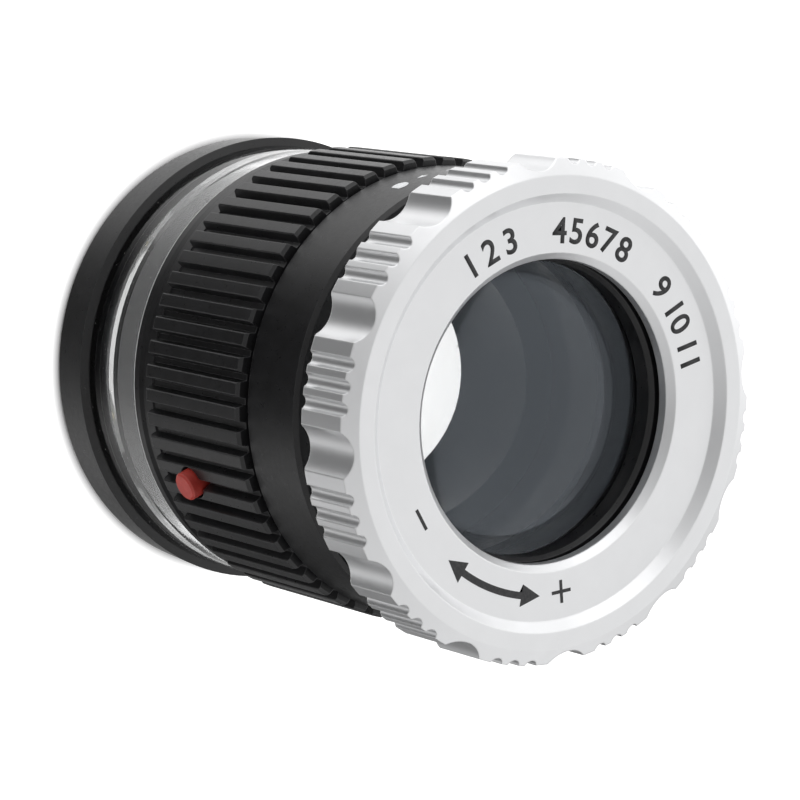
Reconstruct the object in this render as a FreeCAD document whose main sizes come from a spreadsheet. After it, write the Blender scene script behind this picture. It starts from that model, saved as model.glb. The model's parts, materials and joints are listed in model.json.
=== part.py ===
import FreeCAD, Part
import os
import Sketcher

doc = FreeCAD.newDocument("loupe")
SHEET = "Dimensions"
TURN = 360                       # degrees in a full turn
QUARTER = 90                     # degrees in a quarter turn
SCREW_ANGLES = (114, 234, 354)   # board screws round the axis
PIN_ANGLES = (0, 180)            # guide pins round the axis
LAMP_START = 24                  # angle of the first lamp
X_AXIS = FreeCAD.Vector(1, 0, 0)
Y_AXIS = FreeCAD.Vector(0, 1, 0)
Z_AXIS = FreeCAD.Vector(0, 0, 1)

# Every driving size: word, value or formula (mm, degrees), what it sets.
SIZES = [
    ("foot_radius", "23.3", "base ring radius at the ground"),
    ("foot_bevel", "0.3", "bevel round the ground face"),
    ("foot_flat", "=foot_radius - foot_bevel", "outer radius of the ground face"),
    ("base_edge_radius", "23.65", "base ring radius at its upper edge"),
    ("base_edge_height", "5.24", "height of that edge"),
    ("ledge_radius", "22.8", "inner radius of the sloping ledge"),
    ("ledge_height", "5.5", "height of the seat under the window"),
    ("collar_radius", "21.05", "collar inside the window"),
    ("collar_top", "8.1", "top of the collar"),
    ("collar_bore", "19.4", "bore of the collar"),
    ("view_radius", "12.0", "opening over the work"),
    ("reticle_bottom", "0.8", "under side of the scale glass"),
    ("reticle_top", "2.3", "upper side of the scale glass"),
    ("reticle_radius", "18.0", "scale glass"),
    ("reticle_seat", "18.1", "seat for the scale glass"),
    ("reticle_seat_top", "4.2", "top of the seat bore"),
    ("reticle_ring_radius", "18.06", "ring over the scale glass"),
    ("reticle_ring_bore", "12.2", "bore of that ring"),
    ("reticle_ring_top", "3.9", "top of that ring"),
    ("window_radius", "22.75", "clear window, outside"),
    ("window_bevel", "0.12", "bevel on the window edges"),
    ("window_rim", "=window_radius - window_bevel", "flat part of the window ends"),
    ("window_low_bevel", "=ledge_height + window_bevel", "top of the lower bevel"),
    ("window_top", "14.65", "window shoulder"),
    ("window_high_bevel", "=window_top - window_bevel", "foot of the upper bevel"),
    ("window_spigot", "21.33", "window spigot in the grip"),
    ("window_spigot_top", "16.1", "top of the spigot"),
    ("window_bore", "19.9", "bore of the window"),
    ("window_step", "8.4", "step over the collar"),
    ("window_low_bore", "21.15", "bore round the collar"),
    ("grip_bottom", "14.7", "under side of the grip"),
    ("grip_bore", "21.4", "main bore of the grip"),
    ("rim_radius", "22.8", "lower rim"),
    ("rim_step_low", "15.6", "foot of the rim step"),
    ("rim_step_high", "16.2", "top of the rim step"),
    ("band_radius", "22.6", "smooth band under the ribs"),
    ("rib_bottom", "17.8", "foot of the ribs"),
    ("rib_bevel", "0.3", "bevel on the rib ends"),
    ("rib_radius", "23.46", "top of the ribs"),
    ("rib_shoulder", "=rib_radius - rib_bevel", "top face of the grip"),
    ("rib_foot", "=rib_bottom + rib_bevel", "foot of the full rib"),
    ("grip_top", "34.95", "top of the grip"),
    ("rib_head", "=grip_top - rib_bevel", "end of the full rib"),
    ("rib_length", "=grip_top - rib_bottom", "depth of the gap cut"),
    ("rib_gap_floor", "22.45", "floor of a gap"),
    ("rib_gap_floor_half", "0.3", "half width of that floor"),
    ("rib_gap_edge", "23.36", "foot of the bevel along a rib"),
    ("rib_gap_edge_half", "0.56", "half width of the gap there"),
    ("rib_gap_mouth", "23.7", "radius where the cut leaves the rib"),
    ("rib_gap_mouth_half", "0.9", "half width of the mouth"),
    ("rib_count", "60", "ribs round the grip"),
    ("mouth_bore", "21.0", "bore that takes the cover ring"),
    ("ledge_low", "27.0", "under side of the inner ledge"),
    ("ledge_high", "28.4", "top of the inner ledge"),
    ("ledge_bore", "20.6", "bore of the inner ledge"),
    ("lock_count", "3", "bayonet lugs"),
    ("lock_low", "32.6", "foot of the bayonet groove"),
    ("lock_high", "33.9", "top of the bayonet groove"),
    ("lock_floor", "21.6", "floor of the bayonet groove"),
    ("lock_mouth", "20.5", "inner side of the groove cut"),
    ("lock_over", "35.5", "top of the entry cut"),
    ("lock_entry_low", "33.2", "foot of the entry cut"),
    ("lock_entry_floor", "21.58", "floor of the entry cut"),
    ("lock_span", "55", "angle swept by a groove"),
    ("lock_entry_span", "26", "angle of an entry slot"),
    ("lock_entry_turn", "15", "middle of an entry slot"),
    ("lug_span", "24", "angle of a lug"),
    ("lug_turn", "-15", "middle of a locked lug"),
    ("lug_radius", "21.5", "outside of a lug"),
    ("lug_root", "20.6", "root of a lug"),
    ("lug_low", "32.7", "foot of a lug"),
    ("lug_high", "33.8", "top of a lug"),
    ("button_height", "23.9", "axis of the button"),
    ("button_radius", "1.5", "button"),
    ("button_face", "24.5", "face of the button from the axis"),
    ("button_edge", "0.2", "bevel round the button face"),
    ("button_side", "=button_radius - button_edge", "flat part of the button face"),
    ("button_crown", "=button_face - button_edge", "start of that bevel"),
    ("button_flange", "2.3", "flange behind the wall"),
    ("button_flange_out", "21.15", "outer face of the flange"),
    ("button_flange_in", "20.45", "inner face of the flange"),
    ("button_stem", "1.0", "stem inside the spring"),
    ("button_stem_end", "18.6", "end of the stem"),
    ("button_guide", "1.55", "guide hole in the wall"),
    ("button_well", "1.78", "wider hole between the ribs"),
    ("button_well_floor", "22.2", "floor of the wider hole"),
    ("cut_over", "26", "start of cuts made from outside"),
    ("cut_inside", "19.5", "end of cuts through the wall"),
    ("spring_start", "17.45", "switch end of the spring"),
    ("spring_slack", "0.02", "room at the ends of the spring"),
    ("spring_length", "=button_flange_in - spring_start - 2 * spring_wire - spring_slack", "fitted length"),
    ("spring_coil", "1.5", "coil radius"),
    ("spring_wire", "0.13", "wire radius"),
    ("spring_turns", "5", "coils"),
    ("spring_pitch", "=spring_length / spring_turns", "rise per coil"),
    ("spring_base", "=spring_start + spring_wire", "first coil"),
    ("switch_front", "17.3", "front of the switch"),
    ("switch_depth", "1.4", "thickness of the switch"),
    ("switch_width", "6.0", "width of the switch"),
    ("switch_plunger", "0.9", "plunger radius"),
    ("switch_plunger_out", "0.35", "plunger height"),
    ("switch_height", "=26.2 - board_top", "height of the switch"),
    ("carrier_bore", "15.7", "bore of the cell carrier"),
    ("carrier_radius", "21.3", "outside of the cell carrier"),
    ("carrier_bottom", "17.5", "under side of the carrier"),
    ("carrier_top", "26.9", "top of the carrier"),
    ("carrier_height", "=carrier_top - carrier_bottom", "height of the carrier"),
    ("notch_width", "7.0", "gap for the switch"),
    ("notch_inner", "15.0", "inner end of that gap"),
    ("notch_outer", "22.0", "outer end of that gap"),
    ("cell_count", "3", "button cells"),
    ("cell_pitch", "60", "angle between cells"),
    ("cell_first", "24", "angle of the first cell"),
    ("cell_radius", "3.95", "button cell"),
    ("cell_can", "3.0", "height of the cell can"),
    ("cell_cap_radius", "3.3", "raised pole of the cell"),
    ("cell_height", "3.6", "height of the cell"),
    ("cell_inner", "16.5", "inner face of a cell"),
    ("cell_axis_height", "22.4", "height of a cell's middle"),
    ("pocket_inner", "16.2", "inner side of a pocket"),
    ("pocket_outer", "20.4", "outer side of a pocket"),
    ("pocket_half", "4.1", "half width of a pocket"),
    ("pocket_floor", "18.3", "floor of a pocket"),
    ("pocket_depth", "=carrier_top - pocket_floor", "depth of a pocket"),
    ("leaf_thick", "0.2", "contact strip"),
    ("leaf_width", "5.0", "contact strip width"),
    ("leaf_height", "7.6", "contact strip height"),
    ("leaf_inner", "16.27", "inner contact strip"),
    ("leaf_outer", "20.14", "outer contact strip"),
    ("tail_width", "1.2", "solder tail"),
    ("tail_gap", "1.4", "slot for a solder tail"),
    ("tail_slack", "0.05", "slack round a solder tail"),
    ("tail_slot", "=leaf_thick + 2 * tail_slack", "slot thickness"),
    ("tail_height", "=pocket_floor - board_top", "length of a solder tail"),
    ("floor_depth", "=pocket_floor - carrier_bottom + tail_slack", "cut through a pocket floor"),
    ("relief_count", "3", "light reliefs between the cells"),
    ("relief_turn", "54", "middle of the first relief"),
    ("relief_span", "27", "angle of a relief"),
    ("relief_mouth", "15.0", "inner side of the relief cut"),
    ("relief_radius", "17.95", "outer side of a relief"),
    ("relief_low", "16.0", "foot of the relief cut"),
    ("relief_high", "27.2", "top of the relief cut"),
    ("board_bore", "15.9", "bore of the lamp board"),
    ("board_radius", "21.2", "outside of the lamp board"),
    ("board_bottom", "16.2", "under side of the lamp board"),
    ("board_top", "17.4", "top of the lamp board"),
    ("board_thick", "=board_top - board_bottom", "thickness of the lamp board"),
    ("lamp_count", "6", "lamps"),
    ("lamp_radius", "18.0", "circle of the lamps"),
    ("lamp_long", "3.5", "lamp body, along the ring"),
    ("lamp_wide", "2.8", "lamp body, across the ring"),
    ("lamp_high", "1.4", "lamp body height"),
    ("lamp_well", "1.1", "phosphor well radius"),
    ("lamp_well_deep", "0.3", "phosphor well depth"),
    ("screw_circle", "18.3", "circle of the board screws"),
    ("screw_head", "1.3", "screw head radius"),
    ("screw_head_high", "0.8", "screw head height"),
    ("screw_shank", "0.7", "screw shank radius"),
    ("screw_length", "4.8", "shank length"),
    ("screw_slot", "0.35", "slot width"),
    ("screw_slot_deep", "0.35", "slot depth"),
    ("screw_hole", "0.8", "clearance hole in the board"),
    ("screw_pilot", "0.72", "hole in the carrier"),
    ("screw_pilot_deep", "4.2", "depth of that hole"),
    ("cover_radius", "22.65", "cover ring outside"),
    ("cover_bottom", "35.55", "lower edge of the cover ring"),
    ("cover_bevel", "0.15", "bevel on that edge"),
    ("cover_rim", "=cover_radius - cover_bevel", "flat part of that edge"),
    ("cover_low", "=cover_bottom + cover_bevel", "top of that bevel"),
    ("cover_shoulder", "43.6", "start of the upper bevel"),
    ("cover_top_radius", "22.2", "top of the upper bevel"),
    ("cover_top", "43.95", "top of the cover ring"),
    ("cover_bore", "19.9", "threaded bore of the cover ring"),
    ("cover_foot", "35.0", "foot that stands on the grip"),
    ("cover_foot_radius", "22.0", "radius of that foot"),
    ("cover_spigot", "20.94", "spigot inside the grip"),
    ("cover_spigot_low", "32.5", "lower end of the spigot"),
    ("guide_bore", "17.25", "guide for the lens barrel"),
    ("guide_top", "34.0", "top of the guide flange"),
    ("pin_height", "33.25", "axis of the guide pins"),
    ("pin_radius", "0.5", "guide pin"),
    ("pin_tip", "16.45", "tip of a guide pin"),
    ("pin_end", "20.5", "outer end of a guide pin"),
    ("pin_length", "=pin_end - pin_tip", "guide pin length"),
    ("pin_hole_length", "=pin_end - pin_tip + 0.1", "hole for a guide pin"),
    ("barrel_top", "52.5", "top of the lens barrel"),
    ("barrel_radius", "17.6", "barrel in the focus ring"),
    ("barrel_guide", "17.2", "barrel in the guide flange"),
    ("barrel_guide_top", "39.0", "top of that part"),
    ("barrel_guide_low", "30.4", "foot of that part"),
    ("barrel_tail", "15.3", "lower tube of the barrel"),
    ("barrel_bottom", "26.6", "lower end of the barrel"),
    ("eye_seat", "48.0", "seat of the eye lens"),
    ("eye_seat_bore", "15.45", "bore round the eye lens"),
    ("stop_one", "14.3", "first light stop"),
    ("stop_one_low", "40.0", "foot of the first stop"),
    ("stop_two", "13.6", "second light stop"),
    ("stop_two_low", "34.0", "foot of the second stop"),
    ("stop_three", "11.8", "third light stop"),
    ("field_seat", "29.88", "seat of the field lens"),
    ("field_seat_bore", "14.15", "bore round the field lens"),
    ("slot_low", "31.05", "foot of a guide slot"),
    ("slot_high", "37.25", "top of a guide slot"),
    ("slot_length", "=slot_high - slot_low", "guide slot length"),
    ("slot_width", "1.1", "guide slot width"),
    ("slot_half", "=slot_width / 2", "half of that width"),
    ("slot_floor", "16.35", "floor of a guide slot"),
    ("slot_over", "18", "outer end of the slot cut"),
    ("collar_ring_bore", "17.22", "bore of the barrel collar"),
    ("collar_ring_radius", "19.2", "outside of the barrel collar"),
    ("collar_ring_low", "37.5", "foot of the barrel collar"),
    ("collar_ring_top", "38.97", "top of the barrel collar"),
    ("eye_radius", "15.4", "eye lens"),
    ("eye_upper_curve", "42", "upper surface of the eye lens"),
    ("eye_upper_apex", "52.05", "highest point of the eye lens"),
    ("eye_lower_curve", "600", "lower surface of the eye lens"),
    ("eye_lower_apex", "47.85", "lowest point of the eye lens"),
    ("field_radius", "14.1", "field lens"),
    ("field_upper_curve", "40", "upper surface of the field lens"),
    ("field_upper_apex", "31.6", "highest point of the field lens"),
    ("field_lower_curve", "80", "lower surface of the field lens"),
    ("field_lower_apex", "26.8", "lowest point of the field lens"),
    ("lens_room", "60", "height of the blank cylinder"),
    ("eye_ring_bore", "14.45", "ring over the eye lens"),
    ("eye_ring_radius", "15.4", "outside of that ring"),
    ("eye_ring_low", "49.55", "foot of that ring"),
    ("eye_ring_top", "51.9", "top of that ring"),
    ("eye_ring_mouth", "14.8", "bevelled mouth of that ring"),
    ("eye_ring_bevel", "51.4", "foot of that bevel"),
    ("field_ring_bore", "13.45", "ring under the field lens"),
    ("field_ring_radius", "14.1", "outside of that ring"),
    ("field_ring_low", "26.7", "foot of that ring"),
    ("field_ring_top", "27.9", "top of that ring"),
    ("notch_half", "0.5", "half width of a spanner notch"),
    ("notch_deep", "0.6", "depth of a spanner notch"),
    ("reticle_notch_end", "17.5", "outer end of the scale ring notches"),
    ("field_notch_end", "13.85", "outer end of the field ring notches"),
    ("notch_start", "10", "inner end of a notch cut"),
    ("cap_lip_radius", "14.84", "eye opening"),
    ("cap_lip_low", "52.6", "under side of the lip"),
    ("cap_lip_high", "53.64", "foot of the inner bevel"),
    ("cap_bevel_radius", "15.55", "top of the inner bevel"),
    ("cap_face", "54.35", "sunk face of the focus ring"),
    ("cap_face_radius", "20.33", "foot of the step"),
    ("cap_step_radius", "21.3", "top of the step"),
    ("cap_top", "55.3", "top of the focus ring"),
    ("cap_rim_radius", "23.0", "outside of the flat rim"),
    ("cap_shoulder", "54.5", "foot of the sloping shoulder"),
    ("cap_radius", "24.6", "outside of the focus ring"),
    ("cap_bottom", "47.75", "lower edge of the focus ring"),
    ("cap_bevel", "0.25", "bevel on that edge"),
    ("cap_low_rim", "=cap_radius - cap_bevel", "flat part of that edge"),
    ("cap_low_bevel", "=cap_bottom + cap_bevel", "top of that bevel"),
    ("cap_thread", "19.85", "threaded neck of the focus ring"),
    ("cap_bore", "17.65", "bore round the lens barrel"),
    ("cap_neck_low", "39.05", "lower end of the neck"),
    ("damper_groove_low", "41.5", "foot of the damper groove"),
    ("damper_groove_high", "42.9", "top of the damper groove"),
    ("damper_groove_floor", "19.2", "floor of the damper groove"),
    ("damper_bore", "19.23", "damper ring bore"),
    ("damper_radius", "19.87", "damper ring outside"),
    ("damper_low", "41.55", "damper ring foot"),
    ("damper_high", "42.85", "damper ring top"),
    ("cap_groups", "12", "scallop and flute groups"),
    ("cap_turn", "-92.8", "clocking of the focus ring"),
    ("cap_cut_top", "56", "start of the flute cuts"),
    ("cap_cut_depth", "9", "depth of the flute cuts"),
    ("scallop_radius", "2.95", "scallop"),
    ("scallop_centre", "26.45", "scallop centre from the axis"),
    ("scallop_angle", "15", "scallop from the middle flute"),
    ("scallop_x", "=scallop_centre * cos(scallop_angle * 1 deg)", "scallop centre, x"),
    ("scallop_y", "=scallop_centre * sin(scallop_angle * 1 deg)", "scallop centre, y"),
    ("flute_radius", "0.7", "flute"),
    ("flute_centre", "24.75", "flute centre from the axis"),
    ("flute_angle", "4.9", "angle between flutes"),
    ("flute_x", "=flute_centre * cos(flute_angle * 1 deg)", "side flute centre, x"),
    ("flute_y", "=flute_centre * sin(flute_angle * 1 deg)", "side flute centre, y"),
    ("notch_side", "=notch_width / 2", "half of that gap"),
    ("pocket_long", "=pocket_outer - pocket_inner", "pocket, along the radius"),
    ("pocket_wide", "=2 * pocket_half", "pocket, along the ring"),
    ("leaf_half", "=leaf_width / 2", "half of a contact strip"),
    ("tail_half", "=tail_width / 2", "half of a solder tail"),
    ("tail_gap_half", "=tail_gap / 2", "half of a tail slot"),
    ("tail_inner", "=leaf_inner - tail_slack", "inner tail slot"),
    ("tail_outer", "=leaf_outer - tail_slack", "outer tail slot"),
    ("tail_bottom", "=carrier_bottom - tail_slack", "foot of the tail slots"),
    ("lamp_long_half", "=lamp_long / 2", "half of a lamp"),
    ("lamp_wide_half", "=lamp_wide / 2", "half of a lamp"),
    ("lamp_base", "=board_bottom - lamp_high", "foot of a lamp"),
    ("screw_head_base", "=board_bottom - screw_head_high", "foot of a screw head"),
    ("screw_slot_long", "=2 * screw_head", "slot length"),
    ("screw_slot_start", "=screw_circle - screw_head", "inner end of a slot"),
    ("screw_slot_half", "=screw_slot / 2", "half of the slot"),
    ("pin_count", "2", "guide pins"),
]

sheet = doc.addObject("Spreadsheet::Sheet", SHEET)
for row, (word, value, note) in enumerate(SIZES, start=1):
    sheet.set(f"A{row}", value)
    sheet.setAlias(f"A{row}", word)
    sheet.set(f"B{row}", note)
doc.recompute()


def size(word):
    """Present value of a sheet word; a leading minus turns its sign."""
    if word.startswith("-"):
        return -size(word[1:])
    return float(sheet.get(word))


def formula(word):
    if word.startswith("-"):
        return f"-{SHEET}.{word[1:]}"
    return f"{SHEET}.{word}"


def drive(item, sizes):
    """Bind each named property of an object to its sheet word."""
    for prop, word in sizes.items():
        item.setExpression(prop, formula(word))


# ---------------------------------------------------------------- sketches

def new_body(name):
    body = doc.addObject("PartDesign::Body", name)
    body.Label = name
    return body


def new_sketch(body, name, plane, lift="", turn=""):
    """Sketch on one of the body's own origin planes, raised or turned about Z."""
    sketch = body.newObject("Sketcher::SketchObject", name)
    role = [item for item in body.Origin.OriginFeatures if item.Role == plane][0]
    sketch.AttachmentSupport = [(role, "")]
    sketch.MapMode = "FlatFace"
    if lift:
        sketch.setExpression("AttachmentOffset.Base.z", formula(lift))
    if turn:
        sketch.AttachmentOffset = FreeCAD.Placement(FreeCAD.Vector(), FreeCAD.Rotation(Y_AXIS, size(turn)))
        sketch.setExpression("AttachmentOffset.Rotation.Angle", formula(turn))
    return sketch


def pin_down(sketch, item, vertex, x_word, y_word):
    """Tie one sketch vertex to its sheet words; an empty word puts it on the axis."""
    for kind, word, axis in (("DistanceX", x_word, -2), ("DistanceY", y_word, -1)):
        if not word:
            sketch.addConstraint(Sketcher.Constraint("PointOnObject", item, vertex, axis))
            continue
        index = sketch.addConstraint(Sketcher.Constraint(kind, -1, 1, item, vertex, size(word)))
        sketch.setExpression(f"Constraints[{index}]", formula(word))


def outline(sketch, corners):
    """Closed outline through corners given as pairs of sheet words."""
    points = [FreeCAD.Vector(size(x) if x else 0, size(y) if y else 0, 0) for x, y in corners]
    count = len(points)
    first = sketch.GeometryCount
    for i in range(count):
        sketch.addGeometry(Part.LineSegment(points[i], points[(i + 1) % count]), False)
    for i, (x_word, y_word) in enumerate(corners):
        sketch.addConstraint(Sketcher.Constraint("Coincident", first + i, 2, first + (i + 1) % count, 1))
        pin_down(sketch, first + i, 1, x_word, y_word)


def ring_of(sketch, x_word, y_word, radius_word):
    """Circle with its centre and radius tied to sheet words."""
    centre = FreeCAD.Vector(size(x_word) if x_word else 0, size(y_word) if y_word else 0, 0)
    circle = Part.Circle(centre, Z_AXIS, size(radius_word))
    item = sketch.addGeometry(circle, False)
    pin_down(sketch, item, 3, x_word, y_word)
    index = sketch.addConstraint(Sketcher.Constraint("Radius", item, size(radius_word)))
    sketch.setExpression(f"Constraints[{index}]", formula(radius_word))


# ---------------------------------------------------------------- features

def turned(body, name, corners, kind="PartDesign::Revolution", span="", turn=""):
    """Turn an outline about Z: a full turn, or span degrees centred on the sketch."""
    sketch = new_sketch(body, name + "_profile", "XZ_Plane", turn=turn)
    outline(sketch, corners)
    feature = body.newObject(kind, name)
    feature.Profile = sketch
    feature.ReferenceAxis = (sketch, ["V_Axis"])
    feature.Angle = TURN
    if span:
        feature.Midplane = True
        feature.setExpression("Angle", formula(span))
    sketch.Visibility = False
    return feature


def pocket(body, name, sketch, depth, flip=False):
    feature = body.newObject("PartDesign::Pocket", name)
    feature.Profile = sketch
    feature.Reversed = flip
    feature.setExpression("Length", formula(depth))
    return feature


def pad(body, name, sketch, height):
    feature = body.newObject("PartDesign::Pad", name)
    feature.Profile = sketch
    feature.setExpression("Length", formula(height))
    return feature


def around(body, name, feature, count):
    """Repeat a feature evenly round Z."""
    pattern = body.newObject("PartDesign::PolarPattern", name)
    pattern.Originals = [feature]
    pattern.Axis = (body.Origin.OriginFeatures[2], [""])
    pattern.Angle = TURN
    pattern.setExpression("Occurrences", formula(count))
    body.Tip = pattern
    return pattern


def ring(name, inner, outer, low, high):
    """Plain ring of rectangular section."""
    body = new_body(name)
    turned(body, name + "_section", [(inner, low), (outer, low), (outer, high), (inner, high)])
    return body


def place(item, axis=Z_AXIS, angle=0.0):
    """Turn an item about one axis through the origin."""
    item.Placement = FreeCAD.Placement(FreeCAD.Vector(), FreeCAD.Rotation(axis, angle))


def primitive(kind, name, sizes):
    item = doc.addObject("Part::" + kind, name)
    drive(item, sizes)
    return item


def joined(name, pieces, kind="Part::MultiFuse"):
    item = doc.addObject(kind, name)
    if kind == "Part::Compound":
        item.Links = pieces
    else:
        item.Shapes = pieces
    return item


def minus(name, base, tool):
    item = doc.addObject("Part::Cut", name)
    item.Base = base
    item.Tool = tool
    return item


def notches(body, outer, top):
    """Two spanner notches across the top of a ring."""
    sketch = new_sketch(body, body.Name + "_notch_lines", "XY_Plane", lift=top)
    for sign in ("", "-"):
        near, far = sign + "notch_start", sign + outer
        outline(sketch, [
            (near, "-notch_half"),
            (far, "-notch_half"),
            (far, "notch_half"),
            (near, "notch_half"),
        ])
    return sketch


# ---------------------------------------------------------------- fixed parts

def make_base_ring():
    body = new_body("base_ring")
    turned(body, "base_section", [
        ("view_radius", ""),
        ("foot_flat", ""),
        ("foot_radius", "foot_bevel"),
        ("base_edge_radius", "base_edge_height"),
        ("ledge_radius", "ledge_height"),
        ("collar_radius", "ledge_height"),
        ("collar_radius", "collar_top"),
        ("collar_bore", "collar_top"),
        ("collar_bore", "reticle_seat_top"),
        ("reticle_seat", "reticle_seat_top"),
        ("reticle_seat", "reticle_bottom"),
        ("view_radius", "reticle_bottom"),
    ])
    return body


def make_scale_glass():
    body = new_body("scale_glass")
    turned(body, "scale_glass_section", [
        ("", "reticle_bottom"),
        ("reticle_radius", "reticle_bottom"),
        ("reticle_radius", "reticle_top"),
        ("", "reticle_top"),
    ])
    return body


def make_scale_ring():
    body = ring("scale_ring", "reticle_ring_bore", "reticle_ring_radius", "reticle_top", "reticle_ring_top")
    sketch = notches(body, "reticle_notch_end", "reticle_ring_top")
    pocket(body, "scale_ring_notches", sketch, "notch_deep")
    return body


def make_window():
    body = new_body("clear_window")
    turned(body, "window_section", [
        ("window_low_bore", "ledge_height"),
        ("window_rim", "ledge_height"),
        ("window_radius", "window_low_bevel"),
        ("window_radius", "window_high_bevel"),
        ("window_rim", "window_top"),
        ("window_spigot", "window_top"),
        ("window_spigot", "window_spigot_top"),
        ("window_bore", "window_spigot_top"),
        ("window_bore", "window_step"),
        ("window_low_bore", "window_step"),
    ])
    return body


def cut_bayonet(body):
    """Groove arcs and the open slots that let the lugs in."""
    groove = turned(body, "lock_groove", [
        ("lock_mouth", "lock_low"),
        ("lock_floor", "lock_low"),
        ("lock_floor", "lock_high"),
        ("lock_mouth", "lock_high"),
    ], kind="PartDesign::Groove", span="lock_span")
    around(body, "lock_grooves", groove, "lock_count")
    entry = turned(body, "lock_entry", [
        ("lock_mouth", "lock_entry_low"),
        ("lock_entry_floor", "lock_entry_low"),
        ("lock_entry_floor", "lock_over"),
        ("lock_mouth", "lock_over"),
    ], kind="PartDesign::Groove", span="lock_entry_span", turn="lock_entry_turn")
    around(body, "lock_entries", entry, "lock_count")


def drill_side(base, name, radius, low, high):
    """Round hole from the front, at the button's height."""
    drill = primitive("Cylinder", name, {"Radius": radius})
    drill.setExpression("Height", f"{formula(high)} - {formula(low)}")
    place(drill, axis=X_AXIS, angle=QUARTER)
    drill.setExpression("Placement.Base.y", f"-{formula(low)}")
    drill.setExpression("Placement.Base.z", formula("button_height"))
    return minus(name + "_cut", base, drill)


def make_grip():
    body = new_body("grip_turning")
    turned(body, "grip_section", [
        ("grip_bore", "grip_bottom"),
        ("rim_radius", "grip_bottom"),
        ("rim_radius", "rim_step_low"),
        ("band_radius", "rim_step_high"),
        ("band_radius", "rib_bottom"),
        ("rib_shoulder", "rib_bottom"),
        ("rib_radius", "rib_foot"),
        ("rib_radius", "rib_head"),
        ("rib_shoulder", "grip_top"),
        ("mouth_bore", "grip_top"),
        ("mouth_bore", "ledge_high"),
        ("ledge_bore", "ledge_high"),
        ("ledge_bore", "ledge_low"),
        ("grip_bore", "ledge_low"),
    ])
    sketch = new_sketch(body, "rib_gap_outline", "XY_Plane", lift="grip_top")
    outline(sketch, [
        ("rib_gap_floor", "-rib_gap_floor_half"),
        ("rib_gap_edge", "-rib_gap_edge_half"),
        ("rib_gap_mouth", "-rib_gap_mouth_half"),
        ("rib_gap_mouth", "rib_gap_mouth_half"),
        ("rib_gap_edge", "rib_gap_edge_half"),
        ("rib_gap_floor", "rib_gap_floor_half"),
    ])
    gap = pocket(body, "rib_gap", sketch, "rib_length")
    around(body, "rib_gaps", gap, "rib_count")
    cut_bayonet(body)
    drilled = drill_side(body, "button_guide_hole", "button_guide", "cut_inside", "cut_over")
    grip = drill_side(drilled, "button_well_hole", "button_well", "button_well_floor", "cut_over")
    grip.Label = "grip"
    return grip


def make_carrier():
    """Ring that holds the three cells, with slots for the solder tails."""
    body = new_body("carrier_turning")
    turned(body, "carrier_section", [
        ("carrier_bore", "carrier_bottom"),
        ("carrier_radius", "carrier_bottom"),
        ("carrier_radius", "carrier_top"),
        ("carrier_bore", "carrier_top"),
    ])
    sketch = new_sketch(body, "notch_outline", "XY_Plane", lift="carrier_top")
    outline(sketch, [
        ("-notch_side", "-notch_inner"),
        ("-notch_side", "-notch_outer"),
        ("notch_side", "-notch_outer"),
        ("notch_side", "-notch_inner"),
    ])
    pocket(body, "switch_notch", sketch, "carrier_height")
    cut_reliefs(body)
    tools = screw_tools("pilot", "screw_pilot", "screw_pilot_deep", "carrier_bottom")
    for index in range(int(size("cell_count"))):
        tools += pocket_tools(index)
    carrier = minus("cell_carrier_cut", body, joined("carrier_cuts", tools))
    carrier.Label = "cell_carrier"
    return carrier


def put_round(item, angle, radius_word, height_word, aside=""):
    """Stand an item at an angle round the axis, radius_word out and height_word up."""
    place(item, angle=angle)
    out = formula(radius_word)
    side = formula(aside) if aside else "0"
    item.setExpression("Placement.Base.x", f"{out} * cos({angle} deg) + {side} * sin({angle} deg)")
    item.setExpression("Placement.Base.y", f"{out} * sin({angle} deg) - {side} * cos({angle} deg)")
    item.setExpression("Placement.Base.z", formula(height_word))


def cut_reliefs(body):
    """Openings in the bore, so light from the window reaches the lower lens."""
    relief = turned(body, body.Name + "_relief", [
        ("relief_mouth", "relief_low"),
        ("relief_radius", "relief_low"),
        ("relief_radius", "relief_high"),
        ("relief_mouth", "relief_high"),
    ], kind="PartDesign::Groove", span="relief_span", turn="relief_turn")
    around(body, body.Name + "_reliefs", relief, "relief_count")


def screw_tools(name, radius, depth, low):
    """Cutters for the holes of the board screws."""
    tools = []
    for index, angle in enumerate(SCREW_ANGLES):
        hole = primitive("Cylinder", f"{name}_{index + 1}", {"Radius": radius, "Height": depth})
        put_round(hole, angle, "screw_circle", low)
        tools.append(hole)
    return tools


def cell_angle(index):
    return size("cell_first") + index * size("cell_pitch")


def pocket_tools(index):
    """Cutters for one cell pocket and its two solder tail slots."""
    angle = cell_angle(index)
    room = primitive("Box", f"pocket_{index + 1}", {
        "Length": "pocket_long", "Width": "pocket_wide", "Height": "pocket_depth"})
    put_round(room, angle, "pocket_inner", "pocket_floor", "pocket_half")
    tools = [room]
    for side in ("inner", "outer"):
        slot = primitive("Box", f"tail_slot_{side}_{index + 1}", {
            "Length": "tail_slot", "Width": "tail_gap", "Height": "floor_depth"})
        put_round(slot, angle, f"tail_{side}", "tail_bottom", "tail_gap_half")
        tools.append(slot)
    return tools


def make_contact(index, side, name):
    """Contact strip beside a cell, with a tail down to the lamp board."""
    angle = cell_angle(index)
    leaf = primitive("Box", f"{name}_leaf", {
        "Length": "leaf_thick", "Width": "leaf_width", "Height": "leaf_height"})
    put_round(leaf, angle, f"leaf_{side}", "pocket_floor", "leaf_half")
    tail = primitive("Box", f"{name}_tail", {
        "Length": "leaf_thick", "Width": "tail_width", "Height": "tail_height"})
    put_round(tail, angle, f"leaf_{side}", "board_top", "tail_half")
    strip = joined(f"{name}_strip", [leaf, tail])
    strip.Label = name
    return strip


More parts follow.
